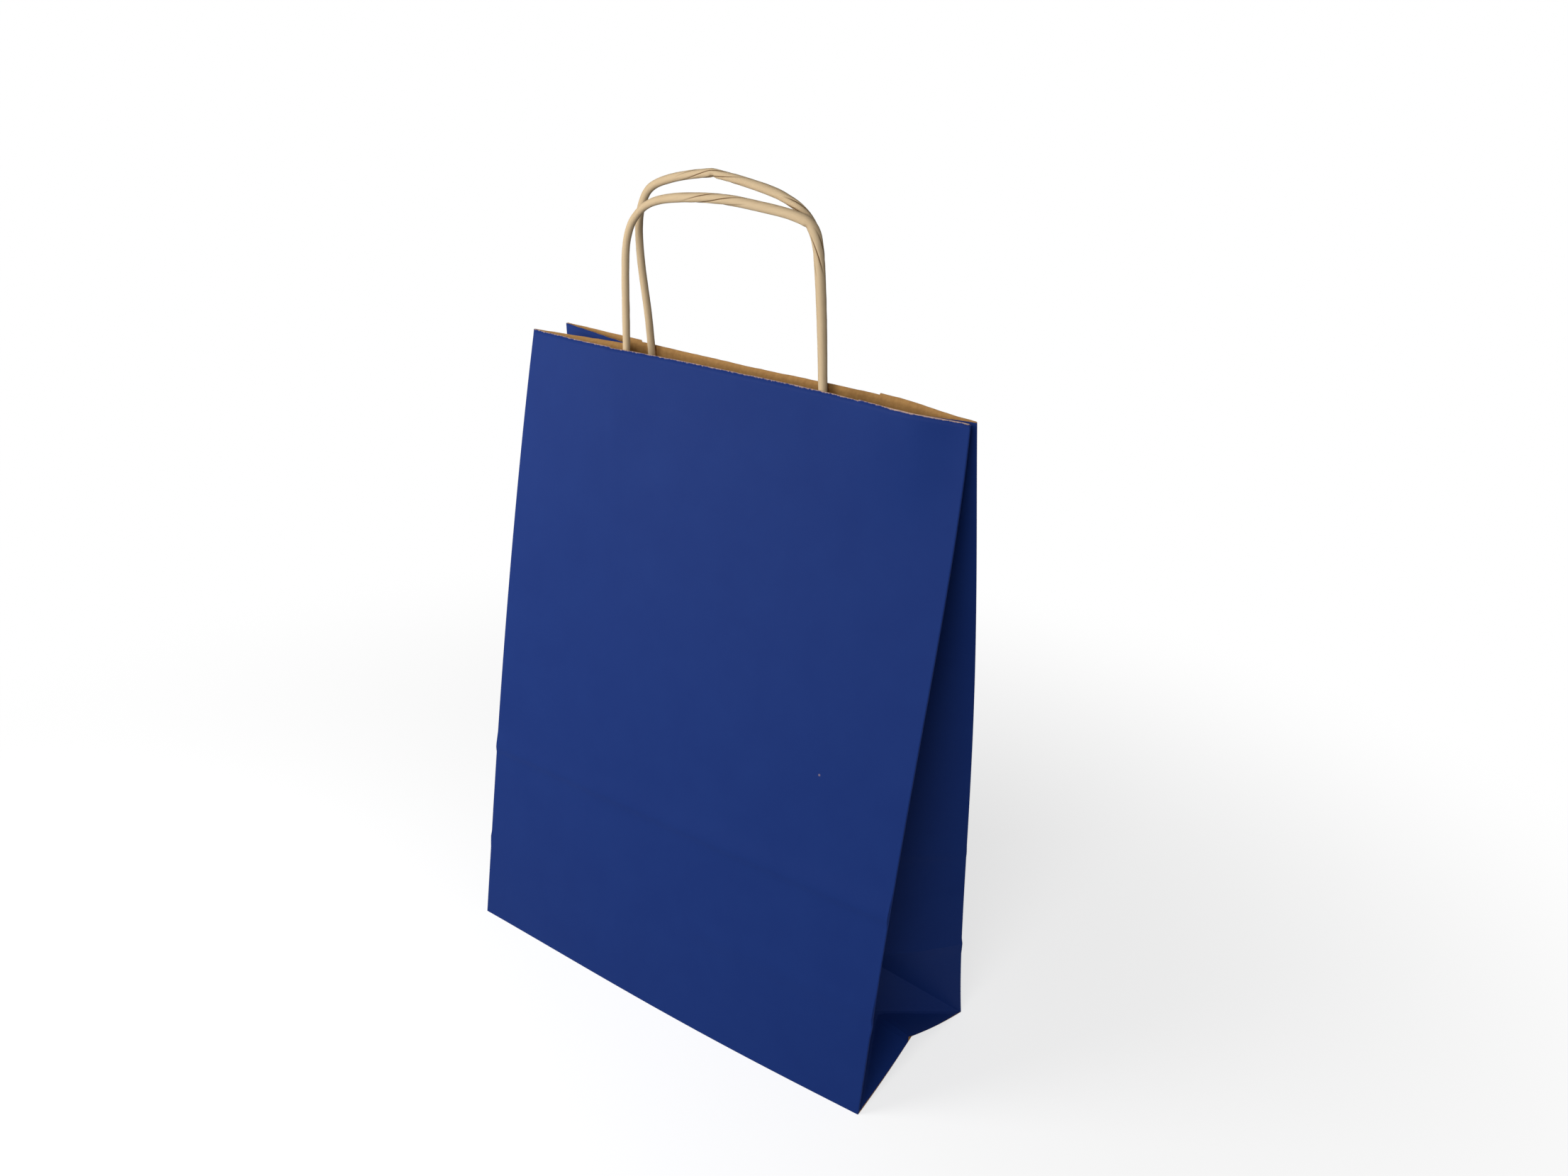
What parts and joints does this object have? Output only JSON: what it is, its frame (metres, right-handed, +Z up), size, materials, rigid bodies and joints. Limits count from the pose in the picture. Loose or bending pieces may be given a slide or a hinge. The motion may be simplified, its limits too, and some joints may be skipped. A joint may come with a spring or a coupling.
{
  "type": "paper bag",
  "caption": "Blue gusseted paper carrier bag with a block base, folded from one sheet, and twisted paper loop handles glued inside the mouth.",
  "frame": {"origin": "under the middle of the base, on the plane that the bag stands on", "axes": "+X to the right across the broad front panel, +Y from the front panel to the back panel, +Z up from the base to the handles"},
  "size_m": [0.24, 0.0966, 0.3927],
  "materials": {
    "blue_printed_paper": "matte print over fine paper fibre",
    "twisted_kraft_cord": "matte twisted paper",
    "brown_kraft_paper": "matte unprinted kraft"
  },
  "bodies": {
    "root": {"bag": "blue_printed_paper", "front_handle": "twisted_kraft_cord", "back_handle": "twisted_kraft_cord", "front_handle_patch": "brown_kraft_paper", "back_handle_patch": "brown_kraft_paper"}
  },
  "joints": []
}
